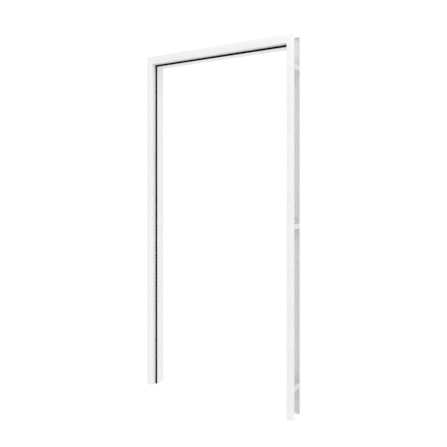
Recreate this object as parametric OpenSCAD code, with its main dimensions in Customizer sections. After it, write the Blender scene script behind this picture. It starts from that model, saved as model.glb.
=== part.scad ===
// Wrap-around steel door frame for an interior wall.
// Two folded jambs and a folded head meet in mitres at the top corners. A rubber seal sits in a groove of
// the stop, and bridging straps tie the two return lips across the open wall side of each jamb.
// X runs across the doorway, Y from the rebated front to the back, Z up. The origin is on the floor, at the
// centre of the frame. A section is drawn as [distance from the outer edge, distance from the front].

/* [Frame] */
// Width over the outer edges of the jambs
frame_w = 1014; // [700:1:1400]
// Height from the floor to the top edge of the head
frame_h = 2100; // [1800:1:2600]
// Depth from the rebated face to the rear face
frame_d = 104; // [95:1:250]

/* [Sheet] */
// Thickness of the steel sheet
sheet_t = 1.5; // [1:0.1:2]
// Inside radius of every fold
bend_r = 1.5; // [1:0.1:2]

/* [Section] */
// Width of the jamb face
jamb_face = 41; // [34:1:70]
// Height of the head face
head_face = 49; // [34:1:100]
// Width of the flat band along the outer edge of each face
band_w = 24; // [12:1:32]
// Depth by which each face is splayed back between its band and the rebate
splay_d = 3; // [1:0.5:6]
// Flat width left between the splay and the fold of the rebate
land_w = 1; // [0.5:0.5:5]
// Depth of the rebate that takes the door leaf, from the band
rebate_d = 40; // [30:1:50]
// Width of the seal groove beside the rebate
groove_w = 5; // [4:0.1:8]
// Depth of the seal groove
groove_d = 7; // [5:0.1:12]
// Width of the bare stop beside the groove
nose_w = 7; // [6:0.5:25]
// Length of the return lip on the wall side
lip_w = 15; // [10:0.5:25]

/* [Seal] */
// Height of the hollow bulb over the stop
bulb_h = 4; // [3:0.1:6]
// Rubber wall round the hollow of the bulb
bulb_wall = 0.9; // [0.6:0.1:1.2]
// Room left between the bulb and the edges of the stop
bulb_gap = 0.3; // [0.1:0.1:0.6]
// Thickness of the foot between its barbs
stem_w = 2.2; // [1.5:0.1:3]
// Room left between a barb and its side of the groove
barb_gap = 0.2; // [0.1:0.1:0.4]
// Room left between the foot and the bottom of the groove
foot_gap = 0.6; // [0.3:0.1:1]
// Number of barbs along each side of the foot
barb_count = 3; // [2:1:4]

/* [Straps] */
// Height of a bridging strap
strap_h = 28; // [20:1:50]
// Thickness of a bridging strap
strap_t = 2; // [1.5:0.1:4]
// Corner radius of a bridging strap
strap_corner = 4; // [2:0.5:8]
// Distance from a strap's end to the fold beside it
strap_end_gap = 0.5; // [0.2:0.1:2]
// Distance from the floor to the centre of the lowest strap
strap_foot = 166; // [100:1:300]
// Distance from the top edge to the centre of the highest strap
strap_top = 175; // [100:1:300]
// Diameter of a fixing hole in a strap
hole_d = 7; // [4:0.5:12]
// Distance between the two fixing holes of a strap
hole_pitch = 40; // [25:1:60]

/* [Hidden] */
$fn = 48;

// Length by which a cutting shape stands past what it cuts
over = 1;
stop_w = groove_w + nose_w;
half_t = sheet_t / 2;

// The fold radius is limited by the narrow nose of the stop
fold_in = min(bend_r, nose_w / 2 - sheet_t);
fold_mid = fold_in + half_t;
fold_out = fold_in + sheet_t;

strap_start = sheet_t + fold_in + strap_end_gap;
strap_len = frame_d - 2 * strap_start;
strap_heights = [strap_foot, frame_h / 2, frame_h - strap_top];

coat = "whitesmoke";
rubber = "black";

function unit(v) = v / norm(v);

// Where the splay of a face ends, from the outer edge
function splay_end(face) = face - fold_out - land_w;

// Middle line of the sheet from the front lip to the end of the band, and from the end of the splay round to
// the rear lip
band_line = [
    [half_t, lip_w],
    [half_t, half_t],
    [band_w, half_t]
];
function stop_line(face) = [
    [splay_end(face), splay_d + half_t],
    [face - half_t, splay_d + half_t],
    [face - half_t, rebate_d + groove_d + half_t],
    [face + groove_w + half_t, rebate_d + groove_d + half_t],
    [face + groove_w + half_t, rebate_d + half_t],
    [face + stop_w - half_t, rebate_d + half_t],
    [face + stop_w - half_t, frame_d - half_t],
    [half_t, frame_d - half_t],
    [half_t, frame_d - lip_w]
];

// Flat strip of sheet between two corners of the line, less the room that each fold takes
module strip(from, to, trim_from, trim_to) {
    way = unit(to - from);
    side = half_t * [abs(way.y), abs(way.x)];
    a = from + way * trim_from;
    b = to - way * trim_to;
    low = [min(a.x, b.x), min(a.y, b.y)];
    high = [max(a.x, b.x), max(a.y, b.y)];
    translate(low - side)
        square(high - low + 2 * side);
}

// Quarter ring of sheet at a corner of the line
module fold(before, corner, after) {
    into = unit(corner - before);
    out = unit(after - corner);
    outside = into - out;
    translate(corner + fold_mid * (out - into))
        intersection() {
            difference() {
                circle(fold_out);
                circle(fold_in);
            }
            translate([min(0, outside.x), min(0, outside.y)] * fold_out)
                square(fold_out);
        }
}

// Strips and folds along a line whose corners are square
module folded_strip(line) {
    last = len(line) - 1;
    for (i = [0 : last - 1])
        strip(line[i], line[i + 1], i == 0 ? 0 : fold_mid, i == last - 1 ? 0 : fold_mid);
    for (i = [1 : last - 1])
        fold(line[i - 1], line[i], line[i + 1]);
}

// Slanted sheet between the band and the land, creased at both ends, where its inner side starts sooner
module splay(face) {
    end = splay_end(face);
    sooner = sheet_t * tan(atan2(splay_d, end - band_w) / 2);
    polygon([
        [band_w, 0],
        [end, splay_d],
        [end, splay_d + sheet_t],
        [end - sooner, splay_d + sheet_t],
        [band_w - sooner, sheet_t]
    ]);
}

module sheet_section(face) {
    folded_strip(band_line);
    splay(face);
    folded_strip(stop_line(face));
}

// Lays a section along the left jamb, from the floor to the top edge
module along_jamb() {
    translate([-frame_w / 2, -frame_d / 2, 0])
        linear_extrude(frame_h)
            children();
}

// Lays a section along the head, from edge to edge
module along_head() {
    translate([-frame_w / 2, -frame_d / 2, frame_h])
        rotate([0, 90, 0])
            linear_extrude(frame_w)
                children();
}

// What lies on the head's side of the two mitres, whose left half is given as [in from the edge, down]
module head_side(points) {
    left = [for (p = points) [p.x - frame_w / 2, frame_h - p.y]];
    last = len(left) - 1;
    right = [for (i = [0 : last]) [-left[last - i].x, left[last - i].y]];
    translate([0, frame_d / 2 + over, 0])
        rotate([90, 0, 0])
            linear_extrude(frame_d + 2 * over)
                polygon(concat(left, right));
}

// The mitre runs at 45 degrees across the bands, then to where both splays end, and at 45 degrees from there
module sheet_mitre() {
    head_side([
        [-over, -over],
        [band_w, band_w],
        [splay_end(jamb_face), splay_end(head_face)],
        [jamb_face + stop_w + over, head_face + stop_w + over]
    ]);
}

module seal_mitre() {
    head_side([
        [jamb_face - head_face - over, -over],
        [jamb_face + stop_w + over, head_face + stop_w + over]
    ]);
}

module folded_jamb() {
    color(coat)
        difference() {
            along_jamb() sheet_section(jamb_face);
            sheet_mitre();
        }
}

// Slot-shaped outline with round ends, lying along the stop
module slot_shape(length, height) {
    for (x = [height / 2, length - height / 2])
        translate([x, height / 2])
            circle(d = height);
    translate([height / 2, 0])
        square([length - height, height]);
}

// Foot of the seal, a stem with rows of barbs that grip the groove
module seal_foot() {
    foot_d = groove_d - foot_gap;
    barb_w = groove_w / 2 - barb_gap;
    barb_step = foot_d / barb_count;
    translate([-stem_w / 2, 0])
        square([stem_w, foot_d]);
    for (i = [0 : barb_count - 1])
        translate([0, i * barb_step])
            polygon([[-barb_w, barb_step * 0.3], [barb_w, barb_step * 0.3], [0, barb_step]]);
}

module seal_section(face) {
    bulb_w = stop_w - 2 * bulb_gap;
    difference() {
        translate([face + bulb_gap, rebate_d - bulb_h])
            slot_shape(bulb_w, bulb_h);
        translate([face + bulb_gap + bulb_wall, rebate_d - bulb_h + bulb_wall])
            slot_shape(bulb_w - 2 * bulb_wall, bulb_h - 2 * bulb_wall);
    }
    translate([face + groove_w / 2, rebate_d])
        seal_foot();
}

module upright_seal() {
    color(rubber)
        difference() {
            along_jamb() seal_section(jamb_face);
            seal_mitre();
        }
}

// Flat strap across the open side of the left jamb, against the inside of both lips
module bridging_strap(height) {
    color(coat)
        translate([-frame_w / 2 + sheet_t, -frame_d / 2 + strap_start, height - strap_h / 2])
            rotate([90, 0, 90])
                linear_extrude(strap_t)
                    difference() {
                        rounded_plate(strap_len, strap_h, strap_corner);
                        for (side = [-1, 1])
                            translate([(strap_len + side * hole_pitch) / 2, strap_h / 2])
                                circle(d = hole_d);
                    }
}

module rounded_plate(length, width, corner) {
    translate([corner, 0])
        square([length - 2 * corner, width]);
    translate([0, corner])
        square([length, width - 2 * corner]);
    for (x = [corner, length - corner], y = [corner, width - corner])
        translate([x, y])
            circle(corner);
}

module on_right() {
    mirror([1, 0, 0])
        children();
}

module jamb_left() {
    folded_jamb();
}

module jamb_right() {
    on_right() folded_jamb();
}

module head() {
    color(coat)
        intersection() {
            along_head() sheet_section(head_face);
            sheet_mitre();
        }
}

module seal_left() {
    upright_seal();
}

module seal_right() {
    on_right() upright_seal();
}

module seal_head() {
    color(rubber)
        intersection() {
            along_head() seal_section(head_face);
            seal_mitre();
        }
}

module strap_left(place) {
    bridging_strap(strap_heights[place]);
}

module strap_right(place) {
    on_right() bridging_strap(strap_heights[place]);
}

jamb_left();
jamb_right();
head();
seal_left();
seal_right();
seal_head();
strap_left(0);  // strap_left_bottom
strap_left(1);  // strap_left_middle
strap_left(2);  // strap_left_top
strap_right(0);  // strap_right_bottom
strap_right(1);  // strap_right_middle
strap_right(2);  // strap_right_top
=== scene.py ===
import math

import bpy
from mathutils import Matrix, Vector


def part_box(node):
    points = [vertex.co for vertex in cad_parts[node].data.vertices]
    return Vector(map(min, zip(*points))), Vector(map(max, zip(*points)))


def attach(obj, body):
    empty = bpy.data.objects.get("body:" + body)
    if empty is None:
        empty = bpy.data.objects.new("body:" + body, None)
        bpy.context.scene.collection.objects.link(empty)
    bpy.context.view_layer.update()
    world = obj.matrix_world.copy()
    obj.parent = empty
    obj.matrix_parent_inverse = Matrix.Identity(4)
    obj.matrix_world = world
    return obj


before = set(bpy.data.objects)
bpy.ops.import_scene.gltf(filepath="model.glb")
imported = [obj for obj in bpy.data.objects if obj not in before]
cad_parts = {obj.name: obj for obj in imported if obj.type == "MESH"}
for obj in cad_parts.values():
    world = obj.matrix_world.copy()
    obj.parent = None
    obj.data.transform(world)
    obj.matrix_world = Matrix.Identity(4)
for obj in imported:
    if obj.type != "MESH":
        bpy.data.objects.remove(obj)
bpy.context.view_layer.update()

bl_info = {
    "name": "Wrap-around door frame",
    "version": (1, 0, 0),
    "blender": (4, 5, 0),
    "location": "3D View > Sidebar > Door frame",
    "description": "Finishes, welds and setting of a folded steel door frame",
    "category": "Object",
}

MM = 0.001
IMAGE_PX = 447
SENSOR_MM = 36.0
CLIP_END = 100.0

# White of the floor and the surroundings, just above 1 so that no noise shows in it
WHITE = 1.05
# Share of its own shadow that the white floor shows
SHADOW_SHARE = 0.18

COAT = "satin_powder_coat"
# Greyer copy of the coat for the straps: painted shade
STRAP_PAINTED_SHADE_COAT = "greyed_coat_painted_shade"
GLOSS_WANDER = 0.03

# Length of the rubber's die lines, in widths of a line
DIE_LINE_STRETCH = 120.0
# Height of a spot weld's rim, as a share of its thickness
RIM_FLATNESS = 0.6
# Length of a ripple, in steps from one ripple to the next, and how much its width varies
RIPPLE_LENGTH = 2.2
RIPPLE_WANDER = 0.12
BEAD_SEED = 7


# Places and sizes taken from the solids

def span(node, axis):
    low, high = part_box(node)
    return low[axis], high[axis]


FOLDED = ["jamb_left", "jamb_right", "head"]
UPRIGHT_SEALS = ["seal_left", "seal_right"]
STRAPS = [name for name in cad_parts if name.startswith("strap_")]

SOFFIT_X, OUTER_X = span("jamb_right", 0)
FRONT_Y, REAR_Y = span("head", 1)
SOFFIT_Z, TOP_Z = span("head", 2)

# Sizes of the folded section, as in the source of the solids
SHEET = OUTER_X - span("strap_right_top", 0)[1]
LIP = 15 * MM
BAND = 24 * MM
# From where the splay ends, over its land, the fold and the stop
SPLAY_TO_SOFFIT = 16 * MM
SPLAY_DEPTH = 3 * MM
# Where a bead starts and stops, clear of the folds
FOLD_REACH = 4 * MM


# Colours and nodes

def linear(hex_colour):
    """Scene-linear RGBA of an sRGB colour written as #RRGGBB."""
    parts = [int(hex_colour[i:i + 2], 16) / 255 for i in (1, 3, 5)]
    return [c / 12.92 if c <= 0.04045 else ((c + 0.055) / 1.055) ** 2.4 for c in parts] + [1.0]


def add(tree, kind, values=None, links=None, **settings):
    """A node with its settings, its sockets' values and the sockets that feed it."""
    node = tree.nodes.new(kind)
    for name, value in settings.items():
        setattr(node, name, value)
    for socket, value in (values or {}).items():
        node.inputs[socket].default_value = value
    for socket, source in (links or {}).items():
        tree.links.new(source, node.inputs[socket])
    return node


def new_material(name):
    material = bpy.data.materials.new(name)
    material.use_nodes = True
    material.node_tree.nodes.clear()
    return material, material.node_tree


def object_noise(tree, size_mm, detail=2.0, stretch=(1.0, 1.0, 1.0)):
    """Noise whose blotches are about size_mm across, longer along an axis with a stretch above 1."""
    place = add(tree, "ShaderNodeTexCoord").outputs["Object"]
    scale = [1.0 / (size_mm * MM * s) for s in stretch]
    mapping = add(tree, "ShaderNodeMapping", {"Scale": scale}, {"Vector": place})
    return add(tree, "ShaderNodeTexNoise", {"Scale": 1.0, "Detail": detail},
               {"Vector": mapping.outputs["Vector"]}).outputs["Fac"]


def patches(tree, noise, low, high, first, second):
    """A share that runs from 0 to 1 as the noise goes from low to high, and the colours it mixes."""
    share = add(tree, "ShaderNodeMapRange", {"From Min": low, "From Max": high},
                {"Value": noise}).outputs["Result"]
    # Of the Mix node's sockets, 6 and 7 and output 2 hold colours
    mix = add(tree, "ShaderNodeMix", {6: linear(first), 7: linear(second)}, {0: share}, data_type="RGBA")
    return share, mix.outputs[2]


# Polyester powder coat on zinc-coated sheet, sprayed on after welding and baked. It flows into a
# smooth satin skin with a faint orange peel, and its gloss wanders a little along a long piece.
# The straps get a greyer copy of the coat, which is painted shade for the shade on their outward faces.
def powder_coat(name, look, full, thin):
    material, tree = new_material(name)
    peel = object_noise(tree, look.peel_mm, detail=1.0)
    grain = object_noise(tree, look.peel_mm / 6, detail=2.0)
    cloud = object_noise(tree, look.cloud_mm, detail=2.0, stretch=(1.0, 1.0, 3.0))
    share, colour = patches(tree, cloud, 0.3, 0.7, thin, full)
    gloss = add(tree, "ShaderNodeMapRange",
                {"To Min": look.coat_roughness - GLOSS_WANDER,
                 "To Max": look.coat_roughness + GLOSS_WANDER},
                {"Value": share}).outputs["Result"]
    fine = add(tree, "ShaderNodeBump", {"Strength": 0.2, "Distance": 0.008 * MM}, {"Height": grain})
    relief = add(tree, "ShaderNodeBump", {"Strength": 0.35, "Distance": 0.03 * MM},
                 {"Height": peel, "Normal": fine.outputs["Normal"]})
    shader = add(tree, "ShaderNodeBsdfPrincipled",
                 {"IOR": 1.5, "Metallic": 0.0, "Coat Weight": 0.12, "Coat Roughness": 0.18},
                 {"Base Color": colour, "Roughness": gloss, "Normal": relief.outputs["Normal"]})
    add(tree, "ShaderNodeOutputMaterial", links={"Surface": shader.outputs["BSDF"]})
    return material


# Extruded EPDM rubber, filled with carbon black. It is almost black and matt, with fine lines from
# the die along its length and patches of a faint bloom.
def extruded_rubber(name, look, stretch):
    material, tree = new_material(name)
    bloom = object_noise(tree, look.bloom_mm, detail=3.0)
    _, colour = patches(tree, bloom, 0.35, 0.75, look.rubber, look.rubber_bloom)
    lines = object_noise(tree, look.die_line_mm, detail=2.0, stretch=stretch)
    relief = add(tree, "ShaderNodeBump", {"Strength": 0.6, "Distance": 0.03 * MM}, {"Height": lines})
    shader = add(tree, "ShaderNodeBsdfPrincipled",
                 {"Roughness": look.rubber_roughness, "IOR": 1.52, "Specular IOR Level": 0.08},
                 {"Base Color": colour, "Normal": relief.outputs["Normal"]})
    add(tree, "ShaderNodeOutputMaterial", links={"Surface": shader.outputs["BSDF"]})
    return material


def dress(node_names, material):
    """Gives CAD nodes a material through their object's slots, with their meshes as they are."""
    for name in node_names:
        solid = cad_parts[name]
        for slot in solid.material_slots:
            slot.link = "OBJECT"
            slot.material = material


def add_object(name, data):
    thing = bpy.data.objects.new(name, data)
    bpy.context.scene.collection.objects.link(thing)
    return thing


def geometry_tree(name, sizes):
    """A tree, and the sockets of its inputs: a geometry, the named sizes and a coat."""
    tree = bpy.data.node_groups.new(name, "GeometryNodeTree")
    tree.interface.new_socket("Geometry", in_out="INPUT", socket_type="NodeSocketGeometry")
    for size in sizes:
        tree.interface.new_socket(size, in_out="INPUT", socket_type="NodeSocketFloat")
    tree.interface.new_socket("Coat", in_out="INPUT", socket_type="NodeSocketMaterial")
    tree.interface.new_socket("Geometry", in_out="OUTPUT", socket_type="NodeSocketGeometry")
    return tree, add(tree, "NodeGroupInput").outputs


def end_tree(tree, given, instances):
    """Makes the instances real, smooth and coated."""
    real = add(tree, "GeometryNodeRealizeInstances", links={"Geometry": instances})
    smooth = add(tree, "GeometryNodeSetShadeSmooth", links={"Geometry": real.outputs["Geometry"]})
    coated = add(tree, "GeometryNodeSetMaterial",
                 links={"Geometry": smooth.outputs["Geometry"], "Material": given["Coat"]})
    add(tree, "NodeGroupOutput", links={"Geometry": coated.outputs["Geometry"]})


# A resistance weld squeezes the sheets between two round electrodes and leaves a rim about a
# shallow seat, which the coat rounds off.
def spot_tree():
    tree, given = geometry_tree("spot_weld_rims", ("Spot radius", "Rim radius"))
    ring = add(tree, "GeometryNodeCurvePrimitiveCircle", {"Resolution": 24},
               {"Radius": given["Spot radius"]})
    rim = add(tree, "GeometryNodeCurvePrimitiveCircle", {"Resolution": 8},
              {"Radius": given["Rim radius"]})
    torus = add(tree, "GeometryNodeCurveToMesh",
                links={"Curve": ring.outputs["Curve"], "Profile Curve": rim.outputs["Curve"]})
    flat = add(tree, "GeometryNodeTransform",
               {"Scale": (1.0, 1.0, RIM_FLATNESS), "Rotation": (0.0, math.radians(90.0), 0.0)},
               {"Geometry": torus.outputs["Mesh"]})
    spots = add(tree, "GeometryNodeInstanceOnPoints",
                links={"Points": given["Geometry"], "Instance": flat.outputs["Geometry"]})
    end_tree(tree, given, spots.outputs["Instances"])
    return tree


# A bead laid by hand freezes in overlapping ripples, each a little wider or narrower than the last.
# Each ripple is a flat drop that lies along the seam, half sunk in the sheet.
def bead_tree():
    tree, given = geometry_tree(
        "rippled_beads", ("Drop length", "Drop width", "Drop height", "Distance"))
    seam = add(tree, "GeometryNodeMeshToCurve", links={"Mesh": given["Geometry"]})
    steps = add(tree, "GeometryNodeResampleCurve",
                links={"Curve": seam.outputs["Curve"], "Length": given["Distance"]}, mode="LENGTH")
    drop = add(tree, "GeometryNodeMeshUVSphere", {"Segments": 12, "Rings": 5, "Radius": 0.5})
    tangent = add(tree, "GeometryNodeInputTangent")
    along = add(tree, "FunctionNodeAlignRotationToVector",
                links={"Vector": tangent.outputs["Tangent"]}, axis="X")
    out = add(tree, "FunctionNodeAlignRotationToVector", {"Vector": (0.0, 1.0, 0.0)},
              {"Rotation": along.outputs["Rotation"]}, axis="Z", pivot_axis="X")
    # Of the Random Value node's sockets, 2 and 3 and output 1 hold plain numbers
    wander = add(tree, "FunctionNodeRandomValue",
                 {2: 1.0 - RIPPLE_WANDER, 3: 1.0 + RIPPLE_WANDER, "Seed": BEAD_SEED}, data_type="FLOAT")
    width = add(tree, "ShaderNodeMath", links={0: given["Drop width"], 1: wander.outputs[1]},
                operation="MULTIPLY")
    size = add(tree, "ShaderNodeCombineXYZ",
               links={"X": given["Drop length"], "Y": width.outputs[0], "Z": given["Drop height"]})
    ripples = add(tree, "GeometryNodeInstanceOnPoints",
                  links={"Points": steps.outputs["Curve"], "Instance": drop.outputs["Mesh"],
                         "Rotation": out.outputs["Rotation"], "Scale": size.outputs["Vector"]})
    end_tree(tree, given, ripples.outputs["Instances"])
    return tree


def bake(name, points, edges, tree, values):
    """Turns what the tree makes of the points and edges into a piece that rides on the frame."""
    path = bpy.data.meshes.new(f"{name}_path")
    path.from_pydata(points, edges, [])
    piece = add_object(name, path)
    modifier = piece.modifiers.new(tree.name, "NODES")
    modifier.node_group = tree
    for item in tree.interface.items_tree:
        if item.in_out == "INPUT" and item.name in values:
            modifier[item.identifier] = values[item.name]
    evaluated = piece.evaluated_get(bpy.context.evaluated_depsgraph_get())
    result = bpy.data.meshes.new_from_object(evaluated)
    if not result.polygons:
        raise RuntimeError(f"{name} came out without faces")
    piece.modifiers.clear()
    piece.data = result
    result.name = name
    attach(piece, "root")


class FinishSettings(bpy.types.PropertyGroup):
    """Colours and texture sizes of the two finishes"""

    coat: bpy.props.StringProperty(
        name="Coat", description="sRGB colour of the powder coat", default="#F4F4F4")
    coat_shade: bpy.props.StringProperty(
        name="Coat, thin", description="sRGB colour where the coat is thinnest", default="#F1F1F2")
    # The strap colours are the coat greyed down: painted shade on the straps' outward faces
    strap_shaded_colour: bpy.props.StringProperty(
        name="Strap coat", description="sRGB colour of the straps, which the spray reaches less",
        default="#E3E3E4")
    strap_shaded_thin_colour: bpy.props.StringProperty(
        name="Strap coat, thin", description="sRGB colour of the straps where the coat is thinnest",
        default="#DDDDDF")
    coat_roughness: bpy.props.FloatProperty(
        name="Coat roughness", description="Satin gloss of the coat", default=0.42,
        min=0.0, max=1.0, subtype="FACTOR")
    peel_mm: bpy.props.FloatProperty(
        name="Orange peel", description="Width of one ripple of the coat, in mm", default=2.2, min=0.5)
    cloud_mm: bpy.props.FloatProperty(
        name="Cloud", description="Width of a change of gloss, in mm", default=90.0, min=10.0)
    rubber: bpy.props.StringProperty(
        name="Rubber", description="sRGB colour of the seal", default="#040404")
    rubber_bloom: bpy.props.StringProperty(
        name="Rubber bloom", description="sRGB colour of the bloom on the seal", default="#080808")
    rubber_roughness: bpy.props.FloatProperty(
        name="Rubber roughness", description="Roughness of the seal", default=0.8,
        min=0.0, max=1.0, subtype="FACTOR")
    die_line_mm: bpy.props.FloatProperty(
        name="Die lines", description="Width of a die line of the rubber, in mm", default=0.35, min=0.1)
    bloom_mm: bpy.props.FloatProperty(
        name="Bloom size", description="Width of a patch of bloom, in mm", default=14.0, min=1.0)


class WeldSettings(bpy.types.PropertyGroup):
    """Sizes of the weld marks that the coat leaves visible"""

    spot_diameter: bpy.props.FloatProperty(
        name="Spot", description="Diameter of the rim round a spot weld", default=5.6 * MM, min=0.0,
        subtype="DISTANCE", unit="LENGTH")
    spot_rim: bpy.props.FloatProperty(
        name="Spot rim", description="Thickness of the rim pressed up by the electrode",
        default=0.7 * MM, min=0.0, subtype="DISTANCE", unit="LENGTH")
    spot_step: bpy.props.FloatProperty(
        name="Spot distance", description="Distance between the two spots at a strap's end",
        default=13.0 * MM, min=0.0, subtype="DISTANCE", unit="LENGTH")
    bead_width: bpy.props.FloatProperty(
        name="Bead width", description="Width of the bead inside a mitre", default=5.0 * MM, min=0.0,
        subtype="DISTANCE", unit="LENGTH")
    bead_height: bpy.props.FloatProperty(
        name="Bead height", description="Height of the bead over the sheet", default=0.9 * MM, min=0.0,
        subtype="DISTANCE", unit="LENGTH")
    ripple_step: bpy.props.FloatProperty(
        name="Ripple distance", description="Distance between two ripples of the bead", default=1.7 * MM,
        min=0.1 * MM, subtype="DISTANCE", unit="LENGTH")


class StageSettings(bpy.types.PropertyGroup):
    """Camera, lamps and floor"""

    lens_px: bpy.props.FloatProperty(
        name="Lens", description="Focal length in pixels of the picture", default=510.2, min=50.0)
    camera_yaw: bpy.props.FloatProperty(
        name="Camera turn", description="Turn of the level camera to the left of the frame's normal",
        default=math.radians(31.14), subtype="ANGLE")
    camera_x: bpy.props.FloatProperty(
        name="Camera right", description="Place of the camera across the doorway", default=1.610,
        subtype="DISTANCE", unit="LENGTH")
    camera_ahead: bpy.props.FloatProperty(
        name="Camera ahead", description="Distance of the camera in front of the rebated face",
        default=2.5525, subtype="DISTANCE", unit="LENGTH")
    camera_z: bpy.props.FloatProperty(
        name="Camera height", description="Height of the camera over the floor", default=1.270,
        subtype="DISTANCE", unit="LENGTH")
    horizon_px: bpy.props.FloatProperty(
        name="Horizon", description="Row of the picture at which the horizon lies", default=186.37)
    corner_place: bpy.props.FloatVectorProperty(
        name="Corner lamp", description="Place of the lamp before the near top corner",
        default=(0.78, -0.70, 2.55), subtype="TRANSLATION", unit="LENGTH")
    corner_size: bpy.props.FloatProperty(
        name="Corner lamp size", description="Diameter of the corner lamp", default=0.3, min=0.01,
        subtype="DISTANCE", unit="LENGTH")
    corner_watts: bpy.props.FloatProperty(
        name="Corner lamp power", description="Power of the corner lamp, in W", default=0.9, min=0.0)
    broad_azimuth: bpy.props.FloatProperty(
        name="Broad light turn", description="Direction of the broad light, right of the frame's normal",
        default=math.radians(45.0), subtype="ANGLE")
    broad_elevation: bpy.props.FloatProperty(
        name="Broad light height", description="Height of the broad light over the horizon",
        default=math.radians(62.0), subtype="ANGLE")
    broad_spread: bpy.props.FloatProperty(
        name="Broad light spread", description="Angle over which the broad light comes in",
        default=math.radians(60.0), subtype="ANGLE")
    broad_strength: bpy.props.FloatProperty(
        name="Broad light", description="Irradiance of the broad light, in W/m2", default=1.14, min=0.0)
    fill_strength: bpy.props.FloatProperty(
        name="Fill", description="Strength of the even light from all round", default=0.765, min=0.0)
    floor_side: bpy.props.FloatProperty(
        name="Floor", description="Side of the square floor", default=40.0,
        subtype="DISTANCE", unit="LENGTH")
    floor_colour: bpy.props.StringProperty(
        name="Floor colour", description="sRGB colour of the floor", default="#EEEEEE")


class DOOR_FRAME_OT_coat(bpy.types.Operator):
    """Coat the folded sheet and the straps"""

    bl_idname = "door_frame.coat"
    bl_label = "Powder coat"

    def execute(self, context):
        look = context.scene.door_frame_finish
        dress(FOLDED, powder_coat(COAT, look, look.coat, look.coat_shade))
        # The straps get the greyer copy of the coat, which is painted shade
        dress(STRAPS, powder_coat(STRAP_PAINTED_SHADE_COAT, look, look.strap_shaded_colour, look.strap_shaded_thin_colour))
        return {"FINISHED"}


class DOOR_FRAME_OT_rubber(bpy.types.Operator):
    """Finish the three lengths of seal"""

    bl_idname = "door_frame.rubber"
    bl_label = "Seal rubber"

    def execute(self, context):
        look = context.scene.door_frame_finish
        upright, across = (1.0, 1.0, DIE_LINE_STRETCH), (DIE_LINE_STRETCH, 1.0, 1.0)
        dress(UPRIGHT_SEALS, extruded_rubber("rubber_upright", look, upright))
        dress(["seal_head"], extruded_rubber("rubber_across", look, across))
        return {"FINISHED"}


class DOOR_FRAME_OT_spot_welds(bpy.types.Operator):
    """Mark the spot welds that hold the straps to the two lips of each jamb"""

    bl_idname = "door_frame.spot_welds"
    bl_label = "Spot welds"

    def execute(self, context):
        welds = context.scene.door_frame_welds
        points = []
        for strap in STRAPS:
            low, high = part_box(strap)
            middle = (low[2] + high[2]) / 2
            side = math.copysign(OUTER_X, low[0])
            for lap in ((FRONT_Y + LIP + low[1]) / 2, (REAR_Y - LIP + high[1]) / 2):
                for step in (-welds.spot_step / 2, welds.spot_step / 2):
                    points.append((side, lap, middle + step))
        bake("spot_welds", points, [], spot_tree(), {
            "Spot radius": welds.spot_diameter / 2, "Rim radius": welds.spot_rim / 2,
            "Coat": bpy.data.materials[COAT]})
        return {"FINISHED"}


class DOOR_FRAME_OT_mitre_welds(bpy.types.Operator):
    """Run the weld beads along the inside of both mitres, behind the front and the rear face"""

    bl_idname = "door_frame.mitre_welds"
    bl_label = "Mitre welds"

    def execute(self, context):
        welds = context.scene.door_frame_welds
        front, rear = FRONT_Y + SHEET, REAR_Y - SHEET
        stop = (OUTER_X - SOFFIT_X, TOP_Z - SOFFIT_Z)
        splay = [edge - SPLAY_TO_SOFFIT for edge in stop]
        inner = [edge - FOLD_REACH for edge in stop]
        seams = (
            [(FOLD_REACH, FOLD_REACH, front), (BAND, BAND, front), (*splay, front + SPLAY_DEPTH)],
            [(FOLD_REACH, FOLD_REACH, rear), (BAND, BAND, rear), (*splay, rear), (*inner, rear)],
        )
        points, edges = [], []
        for side in (-1, 1):
            for seam in seams:
                first = len(points)
                points += [(side * (OUTER_X - across), y, TOP_Z - down) for across, down, y in seam]
                edges += [(i, i + 1) for i in range(first, len(points) - 1)]
        bake("mitre_welds", points, edges, bead_tree(), {
            "Drop length": RIPPLE_LENGTH * welds.ripple_step, "Drop width": welds.bead_width,
            "Drop height": 2 * welds.bead_height, "Distance": welds.ripple_step,
            "Coat": bpy.data.materials[COAT]})
        return {"FINISHED"}


def aim(thing, direction):
    thing.rotation_euler = Vector(direction).to_track_quat("-Z", "Y").to_euler()


class DOOR_FRAME_OT_camera(bpy.types.Operator):
    """Set up a level camera whose shifted lens keeps the uprights parallel"""

    bl_idname = "door_frame.camera"
    bl_label = "Camera"

    def execute(self, context):
        stage = context.scene.door_frame_stage
        data = bpy.data.cameras.new("camera")
        data.sensor_width = SENSOR_MM
        data.lens = stage.lens_px * SENSOR_MM / IMAGE_PX
        data.shift_y = (stage.horizon_px - IMAGE_PX / 2) / IMAGE_PX
        data.clip_end = CLIP_END
        camera = add_object("camera", data)
        camera.location = (stage.camera_x, FRONT_Y - stage.camera_ahead, stage.camera_z)
        aim(camera, (-math.sin(stage.camera_yaw), math.cos(stage.camera_yaw), 0.0))
        context.scene.camera = camera
        return {"FINISHED"}


def seen_rays(tree):
    """1 where the camera sees a surface straight, in gloss or through glass, and 0 elsewhere."""
    path = add(tree, "ShaderNodeLightPath").outputs
    seen = path["Is Camera Ray"]
    for ray in ("Is Glossy Ray", "Is Transmission Ray"):
        seen = add(tree, "ShaderNodeMath", links={0: seen, 1: path[ray]}, operation="MAXIMUM").outputs[0]
    return seen


def lit_white(name, colour):
    """A floor that shows white to the camera and in gloss, less a share of the shadow on it."""
    material, tree = new_material(name)
    matt = add(tree, "ShaderNodeBsdfDiffuse", {"Color": linear(colour)})
    glow = add(tree, "ShaderNodeEmission", {"Color": linear("#FFFFFF"), "Strength": WHITE})
    share = add(tree, "ShaderNodeMath", {1: 1.0 - SHADOW_SHARE}, {0: seen_rays(tree)},
                operation="MULTIPLY")
    surface = add(tree, "ShaderNodeMixShader",
                  links={"Fac": share.outputs[0], 1: matt.outputs["BSDF"], 2: glow.outputs["Emission"]})
    add(tree, "ShaderNodeOutputMaterial", links={"Surface": surface.outputs["Shader"]})
    return material


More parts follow.
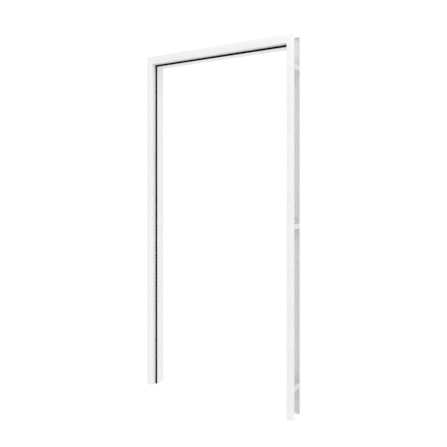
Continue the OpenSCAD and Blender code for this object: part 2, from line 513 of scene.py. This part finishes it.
def white_surroundings(strength):
    """Even light of the given strength, which the camera and gloss see as white."""
    world = bpy.data.worlds.new("white_surroundings")
    world.use_nodes = True
    tree = world.node_tree
    tree.nodes.clear()
    fill = add(tree, "ShaderNodeBackground", {"Color": linear("#FFFFFF"), "Strength": strength})
    seen_white = add(tree, "ShaderNodeBackground", {"Color": linear("#FFFFFF"), "Strength": WHITE})
    surface = add(tree, "ShaderNodeMixShader",
                  links={"Fac": seen_rays(tree), 1: fill.outputs["Background"],
                         2: seen_white.outputs["Background"]})
    add(tree, "ShaderNodeOutputWorld", links={"Surface": surface.outputs["Shader"]})
    bpy.context.scene.world = world


class DOOR_FRAME_OT_stage(bpy.types.Operator):
    """Lay the pale floor and hang the lamps in an even white room"""

    bl_idname = "door_frame.stage"
    bl_label = "Floor and light"

    def execute(self, context):
        stage = context.scene.door_frame_stage
        far = stage.floor_side / 2
        mesh = bpy.data.meshes.new("floor")
        mesh.from_pydata([(-far, -far, 0), (far, -far, 0), (far, far, 0), (-far, far, 0)], [],
                         [(0, 1, 2, 3)])
        mesh.materials.append(lit_white("matt_pale_floor", stage.floor_colour))
        add_object("floor", mesh)

        lamp = bpy.data.lights.new("corner", "AREA")
        lamp.shape = "DISK"
        lamp.size = stage.corner_size
        lamp.energy = stage.corner_watts
        corner = add_object("corner", lamp)
        corner.location = stage.corner_place
        aim(corner, Vector((SOFFIT_X / 2, FRONT_Y, (TOP_Z + SOFFIT_Z) / 2)) - corner.location)
        corner.visible_camera = False

        lamp = bpy.data.lights.new("broad", "SUN")
        lamp.energy = stage.broad_strength
        lamp.angle = stage.broad_spread
        flat = math.cos(stage.broad_elevation)
        source = Vector((flat * math.sin(stage.broad_azimuth), -flat * math.cos(stage.broad_azimuth),
                         math.sin(stage.broad_elevation)))
        aim(add_object("broad", lamp), -source)

        white_surroundings(stage.fill_strength)
        context.scene.view_settings.view_transform = "Standard"
        return {"FINISHED"}


OPERATORS = (DOOR_FRAME_OT_coat, DOOR_FRAME_OT_rubber, DOOR_FRAME_OT_spot_welds,
             DOOR_FRAME_OT_mitre_welds, DOOR_FRAME_OT_camera, DOOR_FRAME_OT_stage)


class DOOR_FRAME_PT_panel(bpy.types.Panel):
    """Buttons in the sidebar, in the order in which they run"""

    bl_idname = "DOOR_FRAME_PT_panel"
    bl_label = "Door frame"
    bl_space_type = "VIEW_3D"
    bl_region_type = "UI"
    bl_category = "Door frame"

    def draw(self, context):
        for operator in OPERATORS:
            self.layout.operator(operator.bl_idname)


CLASSES = (FinishSettings, WeldSettings, StageSettings, *OPERATORS, DOOR_FRAME_PT_panel)


def register():
    for cls in CLASSES:
        bpy.utils.register_class(cls)
    bpy.types.Scene.door_frame_finish = bpy.props.PointerProperty(type=FinishSettings)
    bpy.types.Scene.door_frame_welds = bpy.props.PointerProperty(type=WeldSettings)
    bpy.types.Scene.door_frame_stage = bpy.props.PointerProperty(type=StageSettings)


def unregister():
    del bpy.types.Scene.door_frame_stage
    del bpy.types.Scene.door_frame_welds
    del bpy.types.Scene.door_frame_finish
    for cls in reversed(CLASSES):
        bpy.utils.unregister_class(cls)


def main():
    register()
    bpy.ops.door_frame.coat()
    bpy.ops.door_frame.rubber()
    bpy.ops.door_frame.spot_welds()
    bpy.ops.door_frame.mitre_welds()
    bpy.ops.door_frame.camera()
    bpy.ops.door_frame.stage()


if __name__ == "__main__":
    main()
